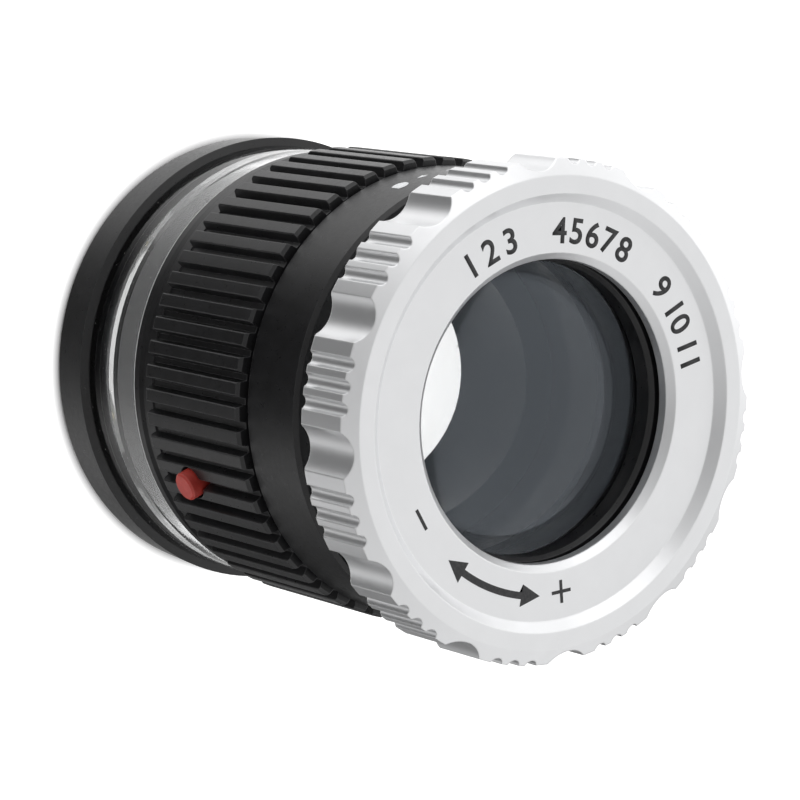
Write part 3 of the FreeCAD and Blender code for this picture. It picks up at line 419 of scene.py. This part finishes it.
def on_cover(point):
    """x runs round the cover ring, y up it."""
    radius = COVER_RADIUS + point.z
    turn = point.x / COVER_RADIUS
    return Vector((radius * math.cos(turn), radius * math.sin(turn), point.y))


def under_glass(point):
    return Vector((point.x, point.y, GLASS_LOW - point.z))


FIGURE_RADIUS = 17.65 * MM
FIGURE_HEIGHT = 2.5 * MM
FIGURE_WEIGHT = 0.06 * MM        # added round each figure's outline
FIGURE_ROWS = (                  # first figure, its angle, step in degrees, count
    (1, 190.6, 8.2, 3),
    (4, 154.8, 6.7, 5),
    (9, 107.5, 12.6, 3),
)
STROKE = 0.34 * MM
COVER_ARROW = (162.1, 172.1)     # angles of its tail and tip
COVER_RING = 177.5               # angle of its middle
SCALE_REACH = 10                 # millimetres to each side of the middle
SCALE_LINE = 0.05 * MM           # line width


def figure_row(first, start, step, count):
    """Figures running clockwise round the sunk face."""
    row = []
    for index in range(count):
        angle = start - index * step
        middle = at(FIGURE_RADIUS, angle)
        row.append(glyph(str(first + index), FIGURE_HEIGHT, middle, angle, FIGURE_WEIGHT))
    return row


def focus_marks():
    """Figures, a two-headed arrow and plus and minus signs on the sunk face."""
    figures = [figure for row in FIGURE_ROWS for figure in figure_row(*row)]
    printed("focus_figures", "focus", INK_DARK, on_face, glyphs=figures)
    radius, half, head, wing = 17.8 * MM, 0.35 * MM, 7.2, 1.1 * MM
    low, high = -65.2, -26.2     # angles of the arrow's two tips
    shaft_start, shaft_end = low + head, high - head
    band = arc_band(shaft_start, shaft_end, radius - half, radius + half)
    middle = len(band) // 2
    outer, inner = band[:middle], band[middle:]
    arrow = ([at(radius, low), at(radius + wing, shaft_start)] + outer
             + [at(radius + wing, shaft_end), at(radius, high), at(radius - wing, shaft_end)] + inner
             + [at(radius - wing, shaft_start)])
    plus, minus = -17.7, -82.2
    size = 2.3 * MM
    signs = [bar(at(FIGURE_RADIUS, minus), size, STROKE, minus + 90)]
    middle = at(FIGURE_RADIUS, plus)
    signs.append(bar(middle, size, STROKE, plus + 90))
    for side in (-1, 1):
        centre = middle + at((size + STROKE) / 4 * side, plus)
        signs.append(bar(centre, size / 2 - STROKE / 2, STROKE, plus))
    printed("focus_arrow", "focus", INK_DARK, on_face, [arrow] + signs)


def cover_marks():
    """Fine arrow and an open ring that show which way the cover ring turns to open."""
    height = 40.0 * MM
    start, tip = (COVER_RADIUS * math.radians(angle) for angle in COVER_ARROW)
    head, wing, half = 0.9 * MM, 0.42 * MM, 0.09 * MM
    neck = tip - head
    line = [(start, height - half), (neck, height - half), (neck, height + half), (start, height + half)]
    point = [(neck, height - wing), (tip, height), (neck, height + wing)]
    middle = COVER_RADIUS * math.radians(COVER_RING)
    inner, outer = 0.62 * MM, 0.85 * MM
    pinhole, dot_radius = 0.0001 * MM, 0.16 * MM
    ring = [(middle + x, height + y) for x, y in arc_band(40, 320, inner, outer)]
    dot = [(middle + x, height + y) for x, y in arc_band(0, 359, pinhole, dot_radius, 12)]
    printed("cover_arrow", "cover", INK_PALE, on_cover, [line, point, ring, dot])


def scale_marks():
    """Millimetre scale under the glass, longer at every fifth line, with figures."""
    lines, figures = [], []
    fifth_line, short_line = 1.6 * MM, 0.9 * MM
    figure_height, figure_place = 1.2 * MM, 2.6 * MM
    base_place, base_long = -0.03 * MM, 2 * SCALE_REACH * MM + SCALE_LINE
    for step in range(-SCALE_REACH, SCALE_REACH + 1):
        fifth = step % 5 == 0
        long = fifth_line if fifth else short_line
        lines.append(bar((step * MM, long / 2), long, SCALE_LINE, 90))
        if fifth:
            figures.append(glyph(str(step + SCALE_REACH), figure_height, (step * MM, figure_place), 90))
    lines.append(bar((0, base_place), base_long, SCALE_LINE, 0))
    printed("scale_lines", "stand", INK_DARK, under_glass, lines, figures)


focus_marks()
cover_marks()
scale_marks()


# ---------------------------------------------------------------- floor, light, camera

FLOOR_HALF = 2.5                 # half the floor's width, in metres
FLOOR_GAP = 0.05 * MM            # keeps the paper off the plane of the ground face
PAPER_GLOW = 0.82                # emission strength of the paper's painted glow, which washes out the contact shadow
GLOW_EDGE = 0.5                  # half width of the glow's soft edge, in millimetres
CAMERA_SPOT = Vector((-126.2, -174.3, 326.0)) * MM
CAMERA_AIM = Vector((1.32, -0.97, 29.7)) * MM
CAMERA_ROLL = 101.52
TOWARDS = math.radians(-125.9)   # turn of the camera's side about z
TENT_BACK, TENT_FRONT = 0.96, 0.52
KEY_SPOT = (150, 42, 0.7)        # azimuth, elevation, distance in metres
KEY_AIM = (0, 0, 0.03)
KEY_SIZE = (0.5, 0.5)
KEY_POWER = 0.6
SOFT_BOXES = (                   # turn from the camera's side, height, sharpness, strength
    (-150, -28, 9, 2.2),
    (-76, -26, 9, 2.5),
    (46, -46, 30, 0.9),
    (160, -78, 9, 1.1),
    (-120, 8, 8, 0.35),
)
BLACK_FLAGS = (                  # turn, height, angle of full shade, angle where it ends, light left
    (0, -54, 14, 34, 0.13),
    (122, -34, 20, 36, 0.15),
    (0, 56, 10, 24, 0.55),
)


def make_floor():
    """Pale paper with a painted glow outside the loupe's foot, for a white background; the patch under the
    foot stays unlit, as painted shade.
    """
    work = bmesh.new()
    bmesh.ops.create_grid(work, x_segments=8, y_segments=8, size=FLOOR_HALF)
    mesh = bpy.data.meshes.new("floor")
    work.to_mesh(mesh)
    work.free()
    floor = bpy.data.objects.new("floor", mesh)
    floor.location.z = -FLOOR_GAP
    scene.collection.objects.link(floor)
    floor.visible_glossy = False
    material, tree, shader = new_material("floor_paper")
    place = in_mm(tree)
    colour = blend_colour(tree, noise(tree, place, 0.01), rgb(0.90, 0.90, 0.90), rgb(0.92, 0.92, 0.92))
    outward = add(tree, "ShaderNodeVectorMath", {0: place}, operation="LENGTH").outputs["Value"]
    foot = radius_of("base_ring") / MM
    # painted glow outside the foot only; none under it, which leaves painted shade there
    glow = spread(tree, outward, 0.0, PAPER_GLOW, foot - GLOW_EDGE, foot + GLOW_EDGE)
    fill(tree, shader, {"Base Color": colour, "Roughness": 0.9, "Specular IOR Level": 0.1,
                        "Emission Color": rgb(1.0, 1.0, 1.0), "Emission Strength": glow})
    mesh.materials.append(material)


def make_camera():
    data = bpy.data.cameras.new("camera")
    data.lens = 162.0
    data.sensor_width = 36.0
    data.clip_start, data.clip_end = 0.01, 20.0
    camera = bpy.data.objects.new("camera", data)
    scene.collection.objects.link(camera)
    look = (CAMERA_AIM - CAMERA_SPOT).normalized()
    turn = look.to_track_quat("-Z", "Y").to_matrix().to_4x4()
    roll = Matrix.Rotation(math.radians(CAMERA_ROLL), 4, "Z")
    camera.matrix_world = Matrix.Translation(CAMERA_SPOT) @ turn @ roll
    scene.camera = camera


def towards(tree, way, turn, lift):
    """Cosine between a direction and a spot; turn runs from the camera's side."""
    turn, lift = math.radians(turn) + TOWARDS, math.radians(lift)
    middle = (math.cos(turn) * math.cos(lift), math.sin(turn) * math.cos(lift), math.sin(lift))
    return add(tree, "ShaderNodeVectorMath", {0: way, 1: middle}, operation="DOT_PRODUCT").outputs["Value"]


def soft_box(tree, way, turn, lift, spread_power, strength):
    """Soft patch of light, brightest in its middle."""
    facing = towards(tree, way, turn, lift)
    fall = math_node(tree, "MULTIPLY", math_node(tree, "SUBTRACT", facing, 1.0), spread_power)
    return math_node(tree, "MULTIPLY", math_node(tree, "EXPONENT", fall), strength)


def flag(tree, way, turn, lift, full, end, left):
    """Share of light left by a round black flag."""
    facing = towards(tree, way, turn, lift)
    return spread(tree, facing, left, 1.0, math.cos(math.radians(full)), math.cos(math.radians(end)))


def make_world():
    """Studio tent, paler behind than in front, with soft boxes and black flags."""
    world = bpy.data.worlds.new("studio")
    world.use_nodes = True
    tree = world.node_tree
    tree.nodes.clear()
    way = add(tree, "ShaderNodeTexCoord").outputs["Generated"]
    front = (math.cos(TOWARDS), math.sin(TOWARDS), 0)
    ahead = add(tree, "ShaderNodeVectorMath", {0: way, 1: front}, operation="DOT_PRODUCT").outputs["Value"]
    height = add(tree, "ShaderNodeSeparateXYZ", {0: way}).outputs[2]
    tent = math_node(tree, "MULTIPLY", spread(tree, ahead, TENT_BACK, TENT_FRONT, -0.7, 0.8),
                     spread(tree, height, 0.0, 1.0, -0.35, 0.15))
    light = tent
    for turn, lift, power, strength in SOFT_BOXES:
        light = math_node(tree, "ADD", light, soft_box(tree, way, turn, lift, power, strength))
    for turn, lift, full, end, left in BLACK_FLAGS:
        light = math_node(tree, "MULTIPLY", light, flag(tree, way, turn, lift, full, end, left))
    back = add(tree, "ShaderNodeBackground", {"Color": rgb(1.0, 1.0, 1.0), "Strength": light})
    add(tree, "ShaderNodeOutputWorld", {"Surface": back.outputs[0]})
    scene.world = world


def area_light(name, spot, aim, size, power):
    data = bpy.data.lights.new(name, "AREA")
    data.shape = "RECTANGLE"
    data.size, data.size_y = size
    data.energy = power
    lamp = bpy.data.objects.new(name, data)
    scene.collection.objects.link(lamp)
    spot = Vector(spot)
    turn = (Vector(aim) - spot).to_track_quat("-Z", "Y").to_matrix().to_4x4()
    lamp.matrix_world = Matrix.Translation(spot) @ turn


def polar(azimuth, elevation, distance):
    a, e = math.radians(azimuth), math.radians(elevation)
    reach = distance * math.cos(e)
    return (reach * math.cos(a), reach * math.sin(a), distance * math.sin(e))


make_floor()
make_camera()
make_world()
area_light("key", polar(*KEY_SPOT), KEY_AIM, KEY_SIZE, KEY_POWER)
scene.view_settings.view_transform = "Standard"
